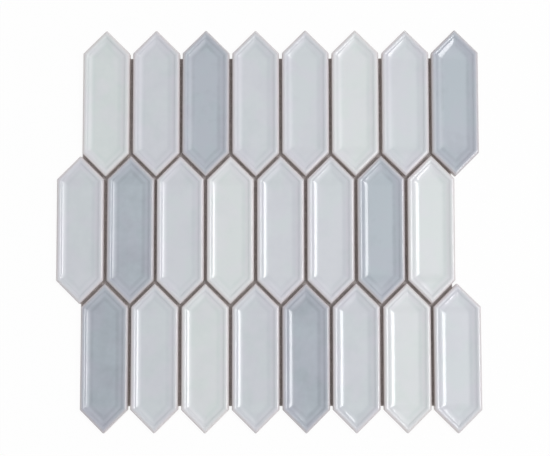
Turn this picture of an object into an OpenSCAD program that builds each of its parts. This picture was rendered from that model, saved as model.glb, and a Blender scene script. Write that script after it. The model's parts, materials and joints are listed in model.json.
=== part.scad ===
// Picket mosaic sheet, in millimetres: glazed porcelain pickets held on one thin mesh backing,
// with open joints between them for grout.
// The sheet lies glaze side up. X runs across the pickets, Y along them and Z up.
// The origin is under the middle of the sheet, on the surface that it lies on.

/* [Picket] */
// Width across the two long edges
tile_w = 34.5; // [30:0.5:45]
// Length from tip to tip
tile_l = 109; // [90:1:140]
// Height of the rim's crest above the picket's back
tile_h = 7.5; // [6:0.1:10]
// Slope of the tip edges, measured from the width
tip_angle = 45; // [35:1:55]
// Radius of the six corners, seen from above
corner_r = 0.8; // [0.3:0.1:1.5]

/* [Rim] */
// Radius of the rim's outer edge
edge_r = 1.8; // [0.8:0.1:2.4]
// Width of the level crest
crest_w = 0.4; // [0.2:0.1:1]
// Radius that rolls the crest over towards the dish
bead_r = 3; // [2:0.1:4]
// Slope of the rim where it meets the dish
bead_slope = 40; // [30:1:50]

/* [Dish] */
// Width of the coved slope round the panel
cove_w = 4.4; // [3:0.1:5.5]
// Slope of the cove where it meets the rim
cove_slope = 22; // [12:1:26]

/* [Sheet] */
// Pickets in one row
columns = 8; // [2:1:10]
// Rows of pickets
rows = 3; // [2:1:5]
// Open joint between neighbouring pickets
joint = 2.2; // [1.5:0.1:4]
// Furthest that a hand-set picket lies from its true place
wander = 0.15; // [0:0.05:0.3]
// Furthest that a hand-set picket is turned, in degrees
twist = 0.12; // [0:0.02:0.2]

/* [Backing] */
// Thickness of the mesh in its film of adhesive
backing_t = 0.5; // [0.3:0.1:1]
// Inset of the backing from the long edge of the first picket in the upper row; below 0 it stands out
left_inset = -0.7; // [-1:0.1:4]
// Inset of the backing from the long edge of the last picket in the second row
right_inset = 1.9; // [0.2:0.1:4]
// Inset of the backing from the shoulders at the top of the sheet
top_inset = 2.9; // [1:0.1:12]
// Inset of the backing from the shoulders at the bottom of the sheet
bottom_inset = 2.7; // [1:0.1:12]

/* [Colours] */
// Glaze of each picket, from the top left: W white, M mist, S slate
glaze_rows = ["WMSMMWMS", "MSMWMMSW", "SMWMSMWM"];
white_glaze = [0.86, 0.88, 0.87];
mist_glaze = [0.80, 0.82, 0.84];
slate_glaze = [0.66, 0.69, 0.73];
backing_colour = [0.42, 0.38, 0.35];

/* [Hidden] */
edge_steps = 4;
bead_steps = 3;
cove_steps = 3;
corner_steps = 3;
seed = 24;
over = 1;

// One joint and one picket make the pitch across; rows nest, tips between shoulders.
pitch = tile_w + joint;
row_pitch = tile_l + joint / cos(tip_angle) - pitch / 2 * tan(tip_angle);
row_shift = pitch / 4;
tip_h = tile_w / 2 * tan(tip_angle);
shoulder_y = tile_l / 2 - tip_h;

// The distance from the middle to a long edge, and to a tip edge square to it
half_w = tile_w / 2;
half_tip = tile_l / 2 * cos(tip_angle);

// The rim rolls down to a crease, and the cove eases from there into the level panel.
crease_inset = edge_r + crest_w + bead_r * sin(bead_slope);
crease_z = tile_h - bead_r * (1 - cos(bead_slope));
cove_r = cove_w / sin(cove_slope);
panel_inset = crease_inset + cove_w;
panel_z = crease_z - cove_r * (1 - cos(cove_slope));

places = [for (r = [1:rows], c = [1:columns]) [r, c]];
scatter = rands(-1, 1, 3 * rows * columns, seed);

function tile_name(place) = str("tile_r", place[0], "_c", place[1]);
function tile_x(place) =
    (place[1] - (columns + 1) / 2) * pitch + (place[0] % 2 == 1 ? row_shift : -row_shift);
function tile_y(place) = ((rows + 1) / 2 - place[0]) * row_pitch;
function tile_index(place) = (place[0] - 1) * columns + place[1] - 1;
function glaze_letter(place) =
    let (row = glaze_rows[(place[0] - 1) % len(glaze_rows)]) row[(place[1] - 1) % len(row)];
function glaze(place) =
    let (letter = glaze_letter(place))
        letter == "W" ? white_glaze : letter == "S" ? slate_glaze : mist_glaze;

// Points on an arc about c, from angle a to angle b
function arc(c, r, a, b, steps) =
    [for (i = [0:steps]) let (t = a + (b - a) * i / steps) c + r * [cos(t), sin(t)]];

function mirrored(points) =
    [for (i = [len(points) - 1:-1:0]) [-points[i][0], points[i][1]]];

function without_first(points) = [for (i = [1:len(points) - 1]) points[i]];

// Right half of the section through the whole picket, from the back up over the rounded edge
function body_half(h) = concat(
    [[h, 0]],
    arc([h - edge_r, tile_h - edge_r], edge_r, 0, 90, edge_steps)
);

// Right half of the hollow: up the cove from the panel, then up the rim to the crest
function dish_half(h) = concat(
    arc([h - panel_inset, panel_z + cove_r], cove_r, -90, cove_slope - 90, cove_steps),
    without_first(arc(
        [h - edge_r - crest_w, tile_h - bead_r], bead_r, 90 + bead_slope, 90, bead_steps
    )),
    [[h - edge_r - crest_w, tile_h + over]]
);

// A section, standing in X and Z, run along Y
module run(section) {
    rotate([90, 0, 0])
        linear_extrude(height = 2 * tile_l, center = true)
            polygon(section);
}

// What lies inside one section run along the sides and another run along both tip slopes
module six_sided(side_section, tip_section) {
    intersection() {
        run(side_section);
        rotate([0, 0, 90 - tip_angle]) run(tip_section);
        rotate([0, 0, tip_angle - 90]) run(tip_section);
    }
}

function closed(half) = concat(half, mirrored(half));

// The picket's outline with its corners eased: two tips and four shoulders
function upper_tip() =
    let (c = [0, tile_l / 2 - corner_r / cos(tip_angle)])
        arc(c, corner_r, 90 - tip_angle, 90 + tip_angle, corner_steps);
function upper_shoulder() =
    let (c = [half_w - corner_r, shoulder_y - corner_r * tan((90 - tip_angle) / 2)])
        arc(c, corner_r, 0, 90 - tip_angle, corner_steps);
function lower_shoulder() =
    let (c = [half_w - corner_r, corner_r * tan((90 - tip_angle) / 2) - shoulder_y])
        arc(c, corner_r, tip_angle - 90, 0, corner_steps);

module outline() {
    right_side = concat(lower_shoulder(), upper_shoulder(), upper_tip());
    left_side = [for (p = right_side) -p];
    polygon(concat(right_side, left_side));
}

// One pressed and glazed picket, standing on its back at z = 0
module picket() {
    difference() {
        intersection() {
            six_sided(closed(body_half(half_w)), closed(body_half(half_tip)));
            linear_extrude(height = tile_h + over) outline();
        }
        six_sided(closed(dish_half(half_w)), closed(dish_half(half_tip)));
    }
}

// A picket in its place on the sheet, a little off true as a hand sets it
module placed_picket(place) {
    i = 3 * tile_index(place);
    translate([
        tile_x(place) + wander * scatter[i],
        tile_y(place) + wander * scatter[i + 1],
        backing_t
    ])
        rotate([0, 0, twist * scatter[i + 2]])
            color(glaze(place)) picket();
}

// One rectangle of mesh bedded in adhesive, cut so that hardly any shows past the pickets
module mesh_backing() {
    edge_x = columns / 2 * pitch - row_shift - joint / 2;
    edge_y = (rows - 1) / 2 * row_pitch + shoulder_y;
    left = -edge_x + left_inset;
    bottom = -edge_y + bottom_inset;
    color(backing_colour)
        translate([left, bottom, 0])
            cube([edge_x - right_inset - left, edge_y - top_inset - bottom, backing_t]);
}

for (place = places)
    placed_picket(place);
mesh_backing();
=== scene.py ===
# %% [markdown]
# A sheet of picket mosaic
#
# A picket is a long six sided tile with a raised rim and a dished face. Eight of them stand in a row,
# three rows nest into each other, and one net of glass yarn in a film of adhesive holds them, so that a
# tiler sets 24 in one go. This notebook builds that sheet in Blender, one step at a time.
#
# The solids that a drawing program made are loaded first. They are the fixed frame: they say where each
# picket lies, and the pieces made here take their places without any fitting by eye.

# %% Load the fixed frame
import json
import math
import random

import bmesh
import bpy
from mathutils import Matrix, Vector


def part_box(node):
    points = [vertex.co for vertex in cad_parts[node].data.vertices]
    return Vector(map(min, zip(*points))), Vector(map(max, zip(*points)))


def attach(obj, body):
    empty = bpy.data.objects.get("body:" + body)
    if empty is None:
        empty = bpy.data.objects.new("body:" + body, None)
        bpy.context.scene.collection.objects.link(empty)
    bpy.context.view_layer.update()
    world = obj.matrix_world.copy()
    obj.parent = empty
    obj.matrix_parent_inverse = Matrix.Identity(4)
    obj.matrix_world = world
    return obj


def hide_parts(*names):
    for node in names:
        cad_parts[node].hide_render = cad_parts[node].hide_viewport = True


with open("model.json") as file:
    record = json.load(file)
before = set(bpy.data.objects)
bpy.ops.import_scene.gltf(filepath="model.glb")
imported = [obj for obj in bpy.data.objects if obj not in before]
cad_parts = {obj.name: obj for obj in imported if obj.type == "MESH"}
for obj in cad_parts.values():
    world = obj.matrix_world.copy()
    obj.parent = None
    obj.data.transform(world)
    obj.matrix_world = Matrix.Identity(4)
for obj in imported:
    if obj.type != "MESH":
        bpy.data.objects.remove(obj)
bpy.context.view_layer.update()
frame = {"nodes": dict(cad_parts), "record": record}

record = frame["record"]
slots = {part["node"]: part["material_slot"] for part in record["subparts"]}
tile_nodes = sorted(name for name in frame["nodes"] if name.startswith("tile_"))
print("pickets in the frame:", len(tile_nodes))

# %% Millimetres
# Blender counts in metres. Lengths below are written in millimetres and multiplied by this.
MM = 0.001

# %% [markdown]
# The camera comes first, because all that follows is judged through it.
#
# The picture is taken from straight above, a little below the middle of the sheet, with a long lens. A
# long lens is far away, so the joints stay parallel and only the outermost pickets show a trace of their
# sides. The position and the three angles below come from the lattice of joints: with eight columns and
# three rows of known pitch, there is only one place that the camera can have stood.

# %% Camera
PICTURE_WIDTH = 550
FOCAL_PIXELS = 1501
SENSOR = 36
camera_data = bpy.data.cameras.new("camera")
camera_data.sensor_fit = "HORIZONTAL"
camera_data.sensor_width = SENSOR
camera_data.lens = SENSOR * FOCAL_PIXELS / PICTURE_WIDTH
camera_data.clip_end = 20
camera = bpy.data.objects.new("camera", camera_data)
bpy.context.scene.collection.objects.link(camera)
camera.location = (10.25 * MM, -96.96 * MM, 1100.12 * MM)
camera.rotation_euler = [math.radians(angle) for angle in (5.1296, 0.2807, -0.0622)]
bpy.context.scene.camera = camera
bpy.context.scene.view_settings.view_transform = "Standard"
print("lens in mm:", round(camera_data.lens, 1))

# %% [markdown]
# Blender's modelling operators work on whatever is selected, so every step starts from nothing selected
# and then picks its faces or edges by where they are. Four small helpers do that: one leaves edit mode
# and clears the selection, one selects a single piece, one opens it in edit mode, and one picks the faces,
# edges or points that pass a test.

# %% Selection helpers
def clear_selection():
    """Leaves edit mode and deselects every object."""
    active = bpy.context.view_layer.objects.active
    if active is not None and active.mode != "OBJECT":
        bpy.ops.object.mode_set(mode="OBJECT")
    bpy.ops.object.select_all(action="DESELECT")


def work_on(piece):
    """Makes one piece the only selected one."""
    clear_selection()
    piece.select_set(True)
    bpy.context.view_layer.objects.active = piece


def edit(piece):
    """Opens one piece in edit mode with all of it selected."""
    work_on(piece)
    bpy.ops.object.mode_set(mode="EDIT")
    bpy.ops.mesh.select_all(action="SELECT")


def pick(kind, test):
    """In edit mode, selects the faces, edges or verts that pass the test."""
    bpy.ops.mesh.select_mode(type={"faces": "FACE", "edges": "EDGE", "verts": "VERT"}[kind])
    bpy.ops.mesh.select_all(action="DESELECT")
    cage = bmesh.from_edit_mesh(bpy.context.object.data)
    found = [part for part in getattr(cage, kind) if test(part)]
    for part in found:
        part.select_set(True)
    cage.select_flush_mode()
    bmesh.update_edit_mesh(bpy.context.object.data)
    return len(found)


# %% [markdown]
# The picket
#
# The real picket is a porcelain body, pressed in a steel die and fired with its glaze on. Its rim rolls
# over in a rounded bead, drops to a crease, and a shallow cove eases from there into a level panel. All
# six sides have the same section, and the sides meet in mitres.
#
# It could be lofted from curves or carved with booleans. Inset is nearer to how the die is cut: each
# inset draws one more line all round the face at an even distance from the edge, and its depth sets how
# high that line lies. So the whole section is written down as a list of distances and heights, and one
# operator walks through it. The outline itself starts as a plane whose two short ends are pulled out to
# points.

# %% Sizes of the picket
PICKET_WIDTH = 34.5
PICKET_LENGTH = 109
PICKET_HEIGHT = 7.5
HALF_WIDTH = PICKET_WIDTH / 2
TIP = PICKET_WIDTH / 2
SHOULDER = PICKET_LENGTH / 2 - TIP
EDGE_RADIUS = 1.8
CREST = 0.4
BEAD_RADIUS = 3.0
BEAD_SLOPE = math.radians(40)
COVE_WIDTH = 6.0
COVE_SLOPE = math.radians(22)
COVE_EASE = 1.5
CREASE_FILLET = 0.3
TIP_BEVEL = 0.8
SHOULDER_BEVEL = 0.35
ARC_STEPS = 6
COVE_STEPS = 10

# %% Section from the outer edge to the panel
def arc_points(centre, radius, start, end):
    """Points on an arc, as distance from the outer edge and height above the back."""
    turns = [start + (end - start) * i / ARC_STEPS for i in range(1, ARC_STEPS + 1)]
    return [(centre[0] + radius * math.sin(t), centre[1] + radius * math.cos(t)) for t in turns]


crest_start = EDGE_RADIUS
crest_end = EDGE_RADIUS + CREST
edge_centre = (crest_start, PICKET_HEIGHT - EDGE_RADIUS)
bead_centre = (crest_end, PICKET_HEIGHT - BEAD_RADIUS)
crease_in = crest_end + BEAD_RADIUS * math.sin(BEAD_SLOPE)
crease_height = PICKET_HEIGHT - BEAD_RADIUS * (1 - math.cos(BEAD_SLOPE))
panel_in = crease_in + COVE_WIDTH


def cove_points(slope):
    """Points down a cove whose slope eases out to nothing, a long way, as poured glaze does."""
    points = []
    height = crease_height
    for step in range(COVE_STEPS):
        share = (step + 0.5) / COVE_STEPS
        height -= COVE_WIDTH / COVE_STEPS * math.tan(slope * (1 - share) ** COVE_EASE)
        points.append((crease_in + COVE_WIDTH * (step + 1) / COVE_STEPS, height))
    return points


edge_arc = arc_points(edge_centre, EDGE_RADIUS, -math.pi / 2, 0)
bead_arc = arc_points(bead_centre, BEAD_RADIUS, 0, BEAD_SLOPE)
cove = cove_points(COVE_SLOPE)
panel_height = cove[-1][1]
section = edge_arc + [(crest_end, PICKET_HEIGHT)] + bead_arc + cove
print("section points:", len(section), "panel at", round(panel_in, 2), round(panel_height, 2))

# %% [markdown]
# Glaze is liquid while it fires, so it fills the sharp crease between bead and cove with a small fillet.
# The corner of the section is cut off there: three points take its place, which is all a fillet is.

# %% Fillet at the crease
def softened(points, index, reach):
    """The section with its corner at index replaced by a three point fillet."""
    before, corner, after = points[index - 1], points[index], points[index + 1]

    def along(a, b, far):
        length = math.dist(a, b)
        share = min(0.9, far / length)
        return (a[0] + (b[0] - a[0]) * share, a[1] + (b[1] - a[1]) * share)

    start = along(corner, before, reach)
    end = along(corner, after, reach)
    middle = ((start[0] + 2 * corner[0] + end[0]) / 4, (start[1] + 2 * corner[1] + end[1]) / 4)
    return points[:index] + [start, middle, end] + points[index + 1:]


crease_index = len(edge_arc) + len(bead_arc)
section = softened(section, crease_index, CREASE_FILLET)
print("crease at", [round(value, 2) for value in section[crease_index + 1]])

# %% Outline: a plane with two pointed ends
clear_selection()
bpy.ops.mesh.primitive_plane_add(size=PICKET_WIDTH * MM)
picket = bpy.context.object
picket.name = "picket_master"
edit(picket)
bpy.ops.transform.resize(value=(1, 2 * SHOULDER / PICKET_WIDTH, 1))
for side in (1, -1):
    pick("edges", lambda e: all(v.co.y * side > (SHOULDER - 0.1) * MM for v in e.verts))
    bpy.ops.mesh.extrude_region_move(TRANSFORM_OT_translate={"value": (0, side * TIP * MM, 0)})
    bpy.ops.mesh.merge(type="CENTER")
bpy.ops.mesh.select_all(action="SELECT")
bpy.ops.mesh.dissolve_limited(angle_limit=math.radians(1))
print("outline corners:", len(picket.data.vertices))

# %% Walls, then one inset for each point of the section
bpy.ops.mesh.select_mode(type="FACE")
bpy.ops.mesh.select_all(action="SELECT")
wall_height = PICKET_HEIGHT - EDGE_RADIUS
bpy.ops.mesh.extrude_region_move(TRANSFORM_OT_translate={"value": (0, 0, wall_height * MM)})
here = (0, wall_height)
for point in section:
    bpy.ops.mesh.inset(
        thickness=(point[0] - here[0]) * MM,
        depth=(point[1] - here[1]) * MM,
        use_even_offset=True,
        use_boundary=True,
    )
    here = point
bpy.ops.mesh.select_all(action="SELECT")
bpy.ops.mesh.normals_make_consistent(inside=False)
bpy.ops.object.mode_set(mode="OBJECT")
top = max(v.co.z for v in picket.data.vertices)
print("faces:", len(picket.data.polygons), "top in mm:", round(top / MM, 3))

# %% [markdown]
# Every edge that climbs from one line of the section to the next is a mitre. On the real picket these are
# eased: a die has no perfectly sharp corner, and the glaze rounds it further. Bevel does that. The tips
# turn through a right angle and the shoulders through half of that, so each gets its own width to come out
# with about the same radius.

# %% Ease the six mitres
def edge_distance(co):
    """How far a point lies in from the picket's outline, in mm."""
    across, along = abs(co.x) / MM, abs(co.y) / MM
    to_side = HALF_WIDTH - across
    to_tip = (PICKET_LENGTH / 2 - along - across) / math.sqrt(2)
    return min(to_side, to_tip)


def is_mitre(edge):
    """True for an edge that joins two lines of the section."""
    a, b = (v.co for v in edge.verts)
    return abs(edge_distance(a) - edge_distance(b)) > 0.01 or abs(a.z - b.z) > 0.01 * MM


edit(picket)
found = pick("edges", lambda e: is_mitre(e) and all(abs(v.co.x) < 0.01 * MM for v in e.verts))
bpy.ops.mesh.bevel(offset=TIP_BEVEL * MM, offset_type="OFFSET", segments=4, affect="EDGES")
print("tip mitre edges:", found)
found = pick("edges", lambda e: is_mitre(e) and all(abs(v.co.x) > 7 * MM for v in e.verts))
bpy.ops.mesh.bevel(offset=SHOULDER_BEVEL * MM, offset_type="OFFSET", segments=3, affect="EDGES")
print("shoulder mitre edges:", found)

# %% Even strips along the picket
# Long faces can't carry the slow waves of a glaze, so level cuts divide the picket every few millimetres.
# They lie closer together at the shoulders, where the dish gets shallower towards its ends. The evenly
# spaced ones are moved a little off the middle, so that none meets a point that is there already.
STRIP = 4.0
STRIP_SHIFT = 0.37
FINE_STRIP = 1.2
FINE_FROM = 30.9
FINE_CUTS = 8
PANEL_STRIP = 3.4
PANEL_SHIFT = 0.11
cuts = int(PICKET_LENGTH / 2 / STRIP)
levels = [step * STRIP + STRIP_SHIFT for step in range(-cuts, cuts + 1)]
levels += [side * (FINE_FROM + FINE_STRIP * step) for side in (1, -1) for step in range(FINE_CUTS)]
for level in sorted(levels):
    bpy.ops.mesh.select_all(action="SELECT")
    bpy.ops.mesh.bisect(plane_co=(0, level * MM, 0), plane_no=(0, 1, 0))
for step in range(-2, 3):
    bpy.ops.mesh.select_all(action="SELECT")
    place = (step * PANEL_STRIP + PANEL_SHIFT) * MM
    bpy.ops.mesh.bisect(plane_co=(place, 0, 0), plane_no=(1, 0, 0))
bpy.ops.mesh.select_all(action="SELECT")
bpy.ops.mesh.remove_doubles(threshold=0.001 * MM)
bpy.ops.mesh.normals_make_consistent(inside=False)
open_edges = pick("edges", lambda e: not e.is_manifold)
bpy.ops.object.mode_set(mode="OBJECT")
print("faces:", len(picket.data.polygons), "open edges:", open_edges)

# %% [markdown]
# Molten glaze pools in the dish, and most of all in its two pointed ends, so the cove is shallower along
# the tips than along the sides: a lamp that lights the long coves of every picket lights only the nearest
# tips. Sculpting would do it once, and for one picket. Two vertex groups are steadier, one for the whole
# dish and one for its ends. They say how much of a fill each point gets, none at the crease and all of it
# on the panel. Each copy is lifted by them later on, with strengths of its own, because no two pickets
# hold the same amount of glaze.

# %% Where glaze pools
def smooth_step(value, low, high):
    """Rises smoothly from 0 to 1 while the value goes from low to high."""
    share = min(1.0, max(0.0, (value - low) / (high - low)))
    return share * share * (3 - 2 * share)


ENDS_BEGIN = 31.5
ENDS_WHOLE = 40
below_the_dish = 0.8 * panel_height * MM
dish = picket.vertex_groups.new(name="pooled_dish")
ends = picket.vertex_groups.new(name="pooled_ends")
for v in picket.data.vertices:
    if v.co.z < below_the_dish:
        continue
    up_the_cove = min(1.0, max(0.0, (panel_in - edge_distance(v.co)) / COVE_WIDTH))
    towards_end = smooth_step(abs(v.co.y) / MM, ENDS_BEGIN, ENDS_WHOLE)
    lifted = 1 - up_the_cove ** (COVE_EASE + 1)
    dish.add([v.index], lifted, "REPLACE")
    ends.add([v.index], lifted * towards_end, "REPLACE")
side_drop = crease_height - panel_height
print("depth of the dish in mm:", round(side_drop, 2))

# %% [markdown]
# The glaze will be painted by how far in from the edge a point lies, since it runs thin over the rim and
# pools in the cove. The shader can't know that distance, so it is worked out once for each point and
# kept on the mesh as an attribute, which every copy inherits.

# %% Distance from the edge, kept on the mesh
distances = [max(0.0, edge_distance(v.co)) for v in picket.data.vertices]
picket.data.attributes.new("edge_distance", "FLOAT", "POINT").data.foreach_set("value", distances)
print("furthest in:", round(max(distances), 2))

# %% Which points the slow waves may move
WAVES_ABOVE = 5.0
glazed = picket.vertex_groups.new(name="glazed_face")
glazed.add([v.index for v in picket.data.vertices if v.co.z > WAVES_ABOVE * MM], 1.0, "REPLACE")
print("vertex groups:", [group.name for group in picket.vertex_groups])

# %% [markdown]
# Shader maths
#
# A material is a sheet of nodes, and maths on it is easier to read as a formula. The class below wraps
# one socket. Adding or multiplying two of them lays down the Math node that does so. Every other node
# comes from one method that sets what kind it is, how it is set, and what goes into it.

# %% A value on the node sheet
class Value:
    """One socket, with the usual signs for sums and products."""

    def __init__(self, bench, socket):
        self.bench = bench
        self.socket = socket

    def _maths(self, operation, first, second):
        return self.bench.put("ShaderNodeMath", {"operation": operation}, {0: first, 1: second})

    def __add__(self, other):
        return self._maths("ADD", self, other)

    def __radd__(self, other):
        return self._maths("ADD", other, self)

    def __sub__(self, other):
        return self._maths("SUBTRACT", self, other)

    def __rsub__(self, other):
        return self._maths("SUBTRACT", other, self)

    def __mul__(self, other):
        return self._maths("MULTIPLY", self, other)


# %% The sheet that nodes are laid on
class Bench:
    """Lays nodes on one material's or world's sheet."""

    def __init__(self, owner):
        owner.use_nodes = True
        self.tree = owner.node_tree
        self.tree.nodes.clear()

    def put(self, kind, settings=None, inputs=None, out=0):
        """Lays one node, with its settings and what goes into it, and gives one of its outputs."""
        node = self.tree.nodes.new(kind)
        for name, value in (settings or {}).items():
            setattr(node, name, value)
        for name, value in (inputs or {}).items():
            if isinstance(value, Value):
                self.tree.links.new(value.socket, node.inputs[name])
            else:
                node.inputs[name].default_value = value
        return Value(self, node.outputs[out])

    def place(self):
        """Where on the piece the shaded point lies."""
        return self.put("ShaderNodeTexCoord", out="Object")

    def attribute(self, name):
        """A number that the mesh carries for each point."""
        return self.put("ShaderNodeAttribute", {"attribute_name": name}, out="Fac")

    def blend(self, first, second, share):
        """The first colour where the share is 0 and the second where it is 1."""
        settings = {"data_type": "RGBA", "clamp_factor": True}
        return self.put("ShaderNodeMix", settings, {0: share, 6: first, 7: second}, out=2)

    def clouds(self, where, size, detail=2.0, roughness=0.5):
        """Noise from 0 to 1 whose blotches are about this many millimetres across."""
        inputs = {"Vector": where, "Scale": 1 / (size * MM), "Detail": detail, "Roughness": roughness}
        return self.put("ShaderNodeTexNoise", {"noise_dimensions": "3D"}, inputs, out="Fac")

    def ramp(self, value, low, high, start=0.0, end=1.0):
        """A smooth change from start to end while the value goes from low to high."""
        inputs = {"Value": value, "From Min": low, "From Max": high, "To Min": start, "To Max": end}
        return self.put("ShaderNodeMapRange", {"interpolation_type": "SMOOTHSTEP"}, inputs)

    def band(self, value, begins, full, fades, gone):
        """Rises from 0 to 1 as the value passes the first two numbers, and falls past the last two."""
        return self.ramp(value, begins, full) * self.ramp(value, fades, gone, 1.0, 0.0)

    def bump(self, height, depth, below=None):
        """Relief of this depth in millimetres, laid over the relief below it."""
        inputs = {"Strength": 1.0, "Distance": depth * MM, "Height": height}
        if below is not None:
            inputs["Normal"] = below
        return self.put("ShaderNodeBump", inputs=inputs)

    def finish(self, shader, kind="ShaderNodeOutputMaterial"):
        """Leads the shader to the sheet's output."""
        output = self.tree.nodes.new(kind)
        self.tree.links.new(shader.socket, output.inputs["Surface"])


# %% [markdown]
# The glaze
#
# Three glazes from one family cover the pickets: a white with a faint green cast, a pale grey, and a
# blue grey. A glaze is glass with a little colour, and three things keep it from looking like paint. It
# runs thin over the rim, where it gets lighter and the warm body shows through as a faint blush. It pools
# in the crease and at the foot of the cove, where it gets deeper. And its surface is never flat, so that a
# lamp's reflection swims a little. Its hue drifts too, between green and violet, and leans to violet
# towards the rim. The sides below the rim were never glazed and stay bare biscuit.
#
# One function mixes all three, so that the family stays a family.

# %% Bare body and glaze colours
BISCUIT = (0.74, 0.66, 0.60, 1)
BISCUIT_DARK = (0.64, 0.55, 0.49, 1)
BLUSH = (0.70, 0.62, 0.605, 1)
WHITE_GLAZE = {
    "thin": (0.75, 0.765, 0.765, 1),
    "body": (0.702, 0.745, 0.748, 1),
    "pool": (0.63, 0.69, 0.69, 1),
    "rim": (0.77, 0.71, 0.80, 1),
}
MIST_GLAZE = {
    "thin": (0.68, 0.69, 0.71, 1),
    "body": (0.637, 0.678, 0.705, 1),
    "pool": (0.57, 0.61, 0.645, 1),
    "rim": (0.70, 0.638, 0.745, 1),
}
SLATE_GLAZE = {
    "thin": (0.50, 0.53, 0.57, 1),
    "body": (0.461, 0.516, 0.565, 1),
    "pool": (0.352, 0.390, 0.436, 1),
    "rim": (0.50, 0.465, 0.565, 1),
}
GLAZES = {"glaze_white": WHITE_GLAZE, "glaze_mist": MIST_GLAZE, "glaze_slate": SLATE_GLAZE}


# %% Where on the picket each effect lies
# Distances in from the outer edge, in millimetres: where an effect begins, is full, fades and is gone.
OVER_CREST = (0.2, 1.6, 2.3, 3.6)
IN_CREASE = (3.2, 4.2, 4.3, 5.4)
AT_FOOT = (5.8, 7.4, 8.0, 10.0)
EDGE_ENDS = 1.2
VIOLET_FADES = (4.0, 8.5)
BLUSH_ENDS = 2.6
BLUSH_SHARE = 0.58
# Height of the line where the glaze ends, above the floor, and half the width of its soft edge.
GLAZE_LINE = 3.1
GLAZE_LINE_EDGE = 0.15


# %% Mix one glaze
def mix_glaze(name, colours):
    """A gloss glaze over a bare biscuit body."""
    material = bpy.data.materials.new(name)
    bench = Bench(material)
    place = bench.place()
    inset = bench.attribute("edge_distance")
    height = bench.put("ShaderNodeSeparateXYZ", inputs={"Vector": place}, out="Z")

    blotches = bench.clouds(place, 22, 2.0)
    drift = bench.clouds(place, 17, 1.0)
    mottle = bench.clouds(place, 5, 3.0, 0.6)
    specks = bench.clouds(place, 1.1, 2.0, 0.6)
    firing = bench.attribute("firing")

    over_crest = bench.band(inset, *OVER_CREST)
    over_edge = bench.ramp(inset, 0.0, EDGE_ENDS, 1.0, 0.0)
    in_crease = bench.band(inset, *IN_CREASE)
    at_foot = bench.band(inset, *AT_FOOT)
    pooled = in_crease * 0.2 + at_foot * 0.4 + bench.ramp(blotches, 0.35, 0.75) * 0.4
    pooled = pooled + (mottle - 0.5) * 0.7 + firing
    thinned = over_crest * 0.4 + over_edge * 0.4 + (specks - 0.5) * 0.1

    colour = bench.blend(colours["body"], colours["pool"], pooled)
    colour = bench.blend(colour, colours["thin"], thinned)
    violet = bench.ramp(inset, *VIOLET_FADES, 0.15, 0.0) + bench.ramp(drift, 0.38, 0.62, 0.0, 0.2)
    colour = bench.blend(colour, colours["rim"], violet)
    blush = bench.ramp(inset + (mottle - 0.5) * 0.6, 0.0, BLUSH_ENDS, BLUSH_SHARE, 0.0)
    colour = bench.blend(colour, BLUSH, blush)

    wander = (mottle - 0.5) * (1.6 * MM) + (blotches - 0.5) * (2.0 * MM)
    line_low = (GLAZE_LINE - GLAZE_LINE_EDGE) * MM
    line_high = (GLAZE_LINE + GLAZE_LINE_EDGE) * MM
    bare = bench.ramp(height + wander, line_low, line_high, 1.0, 0.0)
    biscuit = bench.blend(BISCUIT_DARK, BISCUIT, bench.ramp(specks, 0.3, 0.7))
    colour = bench.blend(colour, biscuit, bare)

    gloss = 0.07 + (mottle - 0.5) * 0.05 + specks * 0.02
    roughness = gloss + bare * (0.75 - gloss)

    waves = bench.bump(bench.clouds(place, 26, 1.0), 0.03)
    peel = bench.bump(mottle, 0.006, waves)
    grain = bench.bump(specks * bare, 0.05, peel)
    shader = bench.put(
        "ShaderNodeBsdfPrincipled",
        inputs={"Base Color": colour, "Roughness": roughness, "IOR": 1.5, "Normal": grain},
    )
    bench.finish(shader)
    return material


glaze_materials = {name: mix_glaze(name, colours) for name, colours in GLAZES.items()}
print("glazes:", sorted(glaze_materials))

# %% [markdown]
# Setting the pickets
#
# Each picket was set by hand, a hair off true. The drawn solid in the frame already lies where it lies,
# so its two tips give the middle and the turn of the picket that stands for it. The master is copied with
# a mesh of its own, turned, moved, and its place is then applied, so that the piece sits at the origin
# like every other and carries its place in its points.
#
# No two fired pickets have the same face. Two Displace modifiers fill the dish and its ends. The dish's
# fill is a height, and that of the ends is written as the slope that is left of the cove there. A third,
# with a slow cloud texture, lifts and sinks the glazed side by a hundredth of a millimetre, and is
# applied when each copy lies at its place, so that every picket gets waves of its own.
#
# Three seeded dice say how much each picket differs: one for its shade, one for its dish and one for its
# ends. Their seeds were picked so that the lighter, deeper and fuller pickets fall much as in the picture.

# %% Where a solid picket lies
# Points as near as this to the furthest one belong to the tip.
TIP_REACH = 0.03


def middle_and_turn(node):
    """The middle of a solid picket and how far it is turned, from its two tips."""
    points = [v.co for v in frame["nodes"][node].data.vertices]
    top = max(p.y for p in points)
    bottom = min(p.y for p in points)
    upper = [p for p in points if p.y > top - TIP_REACH * MM]
    lower = [p for p in points if p.y < bottom + TIP_REACH * MM]
    head = sum((Vector(p) for p in upper), Vector()) / len(upper)
    foot = sum((Vector(p) for p in lower), Vector()) / len(lower)
    low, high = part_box(node)
    middle = Vector(((low.x + high.x) / 2, (low.y + high.y) / 2, low.z))
    return middle, math.atan2(foot.x - head.x, head.y - foot.y)


# %% Slow waves of the fired face
WAVE_LENGTH = 16
WAVE_DEPTH = 0.02
waves_texture = bpy.data.textures.new("glaze_waves", "CLOUDS")
waves_texture.noise_scale = WAVE_LENGTH * MM
waves_texture.noise_depth = 1
print("waves about", WAVE_LENGTH, "mm long and", WAVE_DEPTH, "mm deep")

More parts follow.
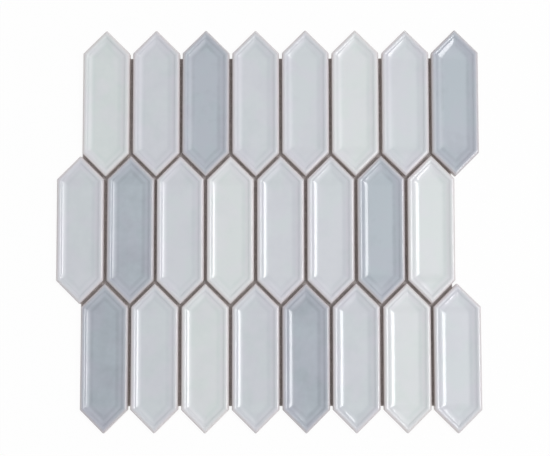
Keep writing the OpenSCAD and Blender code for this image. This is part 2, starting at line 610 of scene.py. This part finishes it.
# %% Copy, place and finish all pickets
# The least and the most: how deep the shade fires, the dish's fill in mm, and the slope at the ends.
FIRINGS = (-0.2, 0.35)
DISH_FILLS = (-0.1, 0.22)
TIP_SLOPES = (4.5, 15)
firing_luck = random.Random(106552)
dish_luck = random.Random(1773618)
ends_luck = random.Random(12045352)
pickets = []
for node in tile_nodes:
    middle, turn = middle_and_turn(node)
    work_on(picket)
    bpy.ops.object.duplicate(linked=False)
    piece = bpy.context.object
    piece.name = node.replace("tile", "picket")
    piece.rotation_euler = (0, 0, turn)
    piece.location = middle
    bpy.ops.object.transform_apply(location=True, rotation=True, scale=True)
    dish_fill = dish_luck.uniform(*DISH_FILLS)
    tip_slope = math.radians(ends_luck.uniform(*TIP_SLOPES))
    tip_drop = crease_height - cove_points(tip_slope)[-1][1]
    ends_fill = side_drop - tip_drop - dish_fill
    for group, lift in (("pooled_dish", dish_fill), ("pooled_ends", ends_fill)):
        pool = piece.modifiers.new(group, "DISPLACE")
        pool.direction = "Z"
        pool.mid_level = 0.0
        pool.strength = lift * MM
        pool.vertex_group = group
        bpy.ops.object.modifier_apply(modifier=pool.name)
    swell = piece.modifiers.new("glaze_waves", "DISPLACE")
    swell.texture = waves_texture
    swell.texture_coords = "LOCAL"
    swell.direction = "Z"
    swell.vertex_group = "glazed_face"
    swell.mid_level = 0.5
    swell.strength = WAVE_DEPTH * MM
    bpy.ops.object.modifier_apply(modifier=swell.name)
    bpy.ops.object.shade_smooth_by_angle(angle=math.radians(30))
    firing = firing_luck.uniform(*FIRINGS)
    firing_layer = piece.data.attributes.new("firing", "FLOAT", "POINT")
    firing_layer.data.foreach_set("value", [firing] * len(piece.data.vertices))
    piece.data.materials.clear()
    piece.data.materials.append(glaze_materials[slots[node]])
    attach(piece, "root")
    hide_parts(node)
    pickets.append(piece)
print("pickets set:", len(pickets), "faces each:", len(pickets[0].data.polygons))

# %% Put the master away
clear_selection()
bpy.data.objects.remove(picket)

# %% [markdown]
# The backing
#
# Behind the pickets lies a net of glass yarn, about five millimetres from yarn to yarn, pressed into a
# thin film of taupe adhesive. From the front it shows only as the floor of the joints. From behind it is
# the whole sheet.
#
# A hundred yarns could be laid one by one. A grid with its faces turned into a wire net is the same
# thing in two operators: the Wireframe modifier gives each grid line a body and joins them where they
# cross. The film is a second, finer plate, and it fills the cells of the net to less than their depth.

# %% Extent of the backing
backing_low, backing_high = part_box("mesh_backing")
backing_middle = (backing_low + backing_high) / 2
backing_width = backing_high.x - backing_low.x
backing_length = backing_high.y - backing_low.y
backing_depth = backing_high.z - backing_low.z
YARN_PITCH = 5.0
yarns_across = round(backing_width / (YARN_PITCH * MM))
yarns_along = round(backing_length / (YARN_PITCH * MM))
print("yarn cells:", yarns_across, "by", yarns_along)

# %% The net
def flat_grid(name, cells_x, cells_y, width, length, height):
    """A level grid of square cells, centred on the backing."""
    clear_selection()
    bpy.ops.mesh.primitive_grid_add(x_subdivisions=cells_x, y_subdivisions=cells_y, size=1)
    grid = bpy.context.object
    grid.name = name
    edit(grid)
    bpy.ops.transform.resize(value=(width, length, 1))
    bpy.ops.transform.translate(value=(backing_middle.x, backing_middle.y, height))
    bpy.ops.object.mode_set(mode="OBJECT")
    return grid


YARN_WIDTH = 0.9
net = flat_grid(
    "net", yarns_across, yarns_along, backing_width - YARN_WIDTH * MM,
    backing_length - YARN_WIDTH * MM, backing_middle.z
)
wires = net.modifiers.new("yarns", "WIREFRAME")
wires.thickness = YARN_WIDTH * MM
wires.use_boundary = True
wires.use_replace = True
wires.use_even_offset = True
wires.use_relative_offset = False
work_on(net)
bpy.ops.object.modifier_apply(modifier=wires.name)
net_heights = [v.co.z for v in net.data.vertices]
print("net from", round(min(net_heights) / MM, 3), "to", round(max(net_heights) / MM, 3))

# %% Press the net flat to the thickness of the backing
edit(net)
squeeze = backing_depth / (max(net_heights) - min(net_heights))
bpy.ops.transform.resize(value=(1, 1, squeeze), center_override=backing_middle)
bpy.ops.object.mode_set(mode="OBJECT")
bpy.ops.object.shade_smooth_by_angle(angle=math.radians(80))
print("net faces:", len(net.data.polygons))

# %% The film of adhesive
FILM_CELLS = (60, 56)
FILM_SHY = 0.1
FILM_HEIGHT = 0.2
FILM_THICKNESS = 0.22
film = flat_grid(
    "film", *FILM_CELLS, backing_width - FILM_SHY * MM, backing_length - FILM_SHY * MM, FILM_HEIGHT * MM
)
plate = film.modifiers.new("thickness", "SOLIDIFY")
plate.thickness = FILM_THICKNESS * MM
plate.offset = 1
work_on(film)
bpy.ops.object.modifier_apply(modifier=plate.name)
film_low = min(v.co.z for v in film.data.vertices)
film_high = max(v.co.z for v in film.data.vertices)
print("film from", round(film_low / MM, 3), "to", round(film_high / MM, 3))

# %% [markdown]
# The adhesive is a filled acrylic that dries to a dull taupe. The glass yarn is paler and shines a
# little, but it was pressed into the wet film, so most of its front is smeared over. Both finishes come
# from one function, which takes two close colours, a smear that lies over both and the depth of its lumps.

# %% Adhesive and yarn
def mix_backing(name, dark, light, smear, depth):
    """A dull, slightly lumpy finish in two close colours and a smear over both."""
    material = bpy.data.materials.new(name)
    bench = Bench(material)
    place = bench.place()
    lumps = bench.clouds(place, 3.2, 3.0, 0.6)
    fine = bench.clouds(place, 0.7, 2.0, 0.6)
    surface = lumps * 0.6 + fine * 0.4
    colour = bench.blend(dark, light, bench.ramp(surface, 0.35, 0.65))
    colour = bench.blend(colour, smear, bench.ramp(bench.clouds(place, 9, 2.0), 0.45, 0.7) * 0.5)
    relief = bench.bump(surface, depth)
    roughness = 0.62 + fine * 0.25
    shader = bench.put(
        "ShaderNodeBsdfPrincipled",
        inputs={"Base Color": colour, "Roughness": roughness, "IOR": 1.45, "Normal": relief},
    )
    bench.finish(shader)
    return material


adhesive = mix_backing(
    "adhesive_film", (0.44, 0.40, 0.40, 1), (0.57, 0.53, 0.53, 1), (0.49, 0.45, 0.45, 1), 0.10
)
yarn = mix_backing(
    "glass_yarn", (0.54, 0.50, 0.50, 1), (0.68, 0.65, 0.64, 1), (0.56, 0.52, 0.52, 1), 0.08
)
net.data.materials.append(yarn)
film.data.materials.append(adhesive)

# %% One piece for the backing
clear_selection()
net.select_set(True)
film.select_set(True)
bpy.context.view_layer.objects.active = net
bpy.ops.object.join()
net.name = "backing_sheet"
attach(net, "root")
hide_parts("mesh_backing")
print("backing faces:", len(net.data.polygons))

# %% [markdown]
# Floor and light
#
# The picture has a pure white ground and a soft studio light: a bright room all round, a little darker
# to the left, and one strong softbox above on the right. The softbox is what draws the white streaks down
# the left coves, so its place matters more than its power.
#
# The floor shows near white to the camera and to reflections, while to the light it is an ordinary pale
# board that still takes the sheet's shadow.

# %% How bright each light is
ROOM_LEFT = (0.565, 0.565, 0.565, 1)
ROOM_RIGHT = (0.607, 0.607, 0.607, 1)
GLOW = 5.0
CAMERA_SHADE = 0.9
FLOOR_WHITENESS = 0.95
KEY_POWER = 5.1

# %% Floor
clear_selection()
bpy.ops.mesh.primitive_plane_add(size=8)
floor = bpy.context.object
floor.name = "floor"
floor_material = bpy.data.materials.new("pale_board")
bench = Bench(floor_material)
board = bench.put("ShaderNodeBsdfDiffuse", inputs={"Color": (0.9, 0.9, 0.9, 1)})
white = bench.put("ShaderNodeEmission", inputs={"Color": (1, 1, 1, 1), "Strength": 1.0})
seen = bench.put("ShaderNodeLightPath", out="Is Camera Ray")
seen = seen + bench.put("ShaderNodeLightPath", out="Is Glossy Ray")
seen = seen + bench.put("ShaderNodeLightPath", out="Is Transmission Ray")
bench.finish(bench.put("ShaderNodeMixShader", inputs={0: seen * FLOOR_WHITENESS, 1: board, 2: white}))
floor.data.materials.append(floor_material)

# %% [markdown]
# Gloss glaze mirrors the room, so the room needs more than one brightness. It is a little darker to the
# left, it glows about the softbox where light spills over the ceiling, and straight above and towards the
# foot of the sheet it is dark, for there stands the camera with whoever works it. The lowest row of
# pickets mirrors that patch and looks a touch deeper for it.

# %% Patches of the room
# A direction has length 1, and these are its parts to the right, forward and up. They say where a patch
# begins, is full, fades and is gone, or only where it begins and is full.
GLOW_ACROSS = (-0.12, 0.4, 0.45, 0.75)
GLOW_ALONG = (-0.4, -0.1, 0.05, 0.35)
GLOW_UP = (0.1, 0.4)
CAMERA_ACROSS = (-0.2, -0.08, 0.04, 0.14)
CAMERA_FADES = (-0.03, 0.11)
CAMERA_UP = (0.5, 0.6)

# %% Room light
world = bpy.data.worlds.new("studio")
bpy.context.scene.world = world
bench = Bench(world)
heading = bench.put("ShaderNodeTexCoord", out="Generated")
rightward = bench.put("ShaderNodeSeparateXYZ", inputs={"Vector": heading}, out="X")
forward = bench.put("ShaderNodeSeparateXYZ", inputs={"Vector": heading}, out="Y")
upward = bench.put("ShaderNodeSeparateXYZ", inputs={"Vector": heading}, out="Z")
tint = bench.blend(ROOM_LEFT, ROOM_RIGHT, bench.ramp(rightward, -0.9, 0.9))
across = bench.band(rightward, *GLOW_ACROSS)
along = bench.band(forward, *GLOW_ALONG)
glow = across * along * bench.ramp(upward, *GLOW_UP)
beside = bench.band(rightward, *CAMERA_ACROSS)
behind = bench.ramp(forward, *CAMERA_FADES, CAMERA_SHADE, 0.0)
camera_patch = beside * behind * bench.ramp(upward, *CAMERA_UP)
brightness = 1.0 - camera_patch + glow * GLOW
sky = bench.put("ShaderNodeBackground", inputs={"Color": tint, "Strength": brightness})
bench.finish(sky, "ShaderNodeOutputWorld")
print("nodes in the room:", len(world.node_tree.nodes))

# %% Softbox
def softbox(name, middle, target, width, length, power):
    """A soft rectangular lamp that faces a point. Lengths are in mm, power in watts."""
    data = bpy.data.lights.new(name, "AREA")
    data.shape = "RECTANGLE"
    data.size = width * MM
    data.size_y = length * MM
    data.energy = power
    lamp = bpy.data.objects.new(name, data)
    bpy.context.scene.collection.objects.link(lamp)
    lamp.location = [value * MM for value in middle]
    aim = Vector([(t - m) * MM for t, m in zip(target, middle)])
    lamp.rotation_euler = aim.to_track_quat("-Z", "Y").to_euler()
    return lamp


softbox("key_softbox", (685, 8, 1378), (685, 8, 0), 490, 486, KEY_POWER)

# %% Finish
clear_selection()
bpy.context.view_layer.update()
